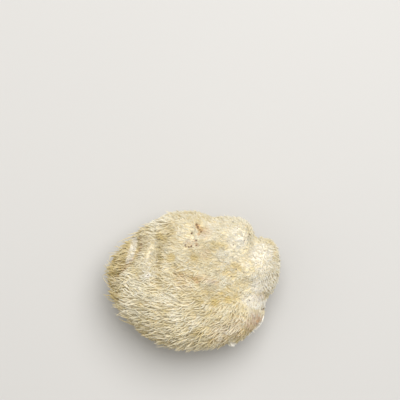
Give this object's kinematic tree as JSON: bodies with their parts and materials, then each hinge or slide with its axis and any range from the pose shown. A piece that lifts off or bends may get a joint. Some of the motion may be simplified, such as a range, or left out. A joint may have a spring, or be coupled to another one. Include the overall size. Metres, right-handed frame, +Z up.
{
  "type": "lions mane mushroom",
  "caption": "Picked lion's mane mushroom, a rounded lobed cushion of ivory flesh covered in combed hanging spines, lying on its flat cut foot.",
  "frame": {"origin": "on the surface that the mushroom rests on, under the middle of its outline", "axes": "+Z up, out of the shaggy front; +X along the longest extent, towards the crown's short nubs, so the combed spines run to -X"},
  "size_m": [0.0894, 0.0764, 0.0489],
  "materials": {
    "flesh": "dry matt ivory, slightly translucent"
  },
  "bodies": {
    "root": {"fruiting_body": "flesh"}
  },
  "joints": []
}
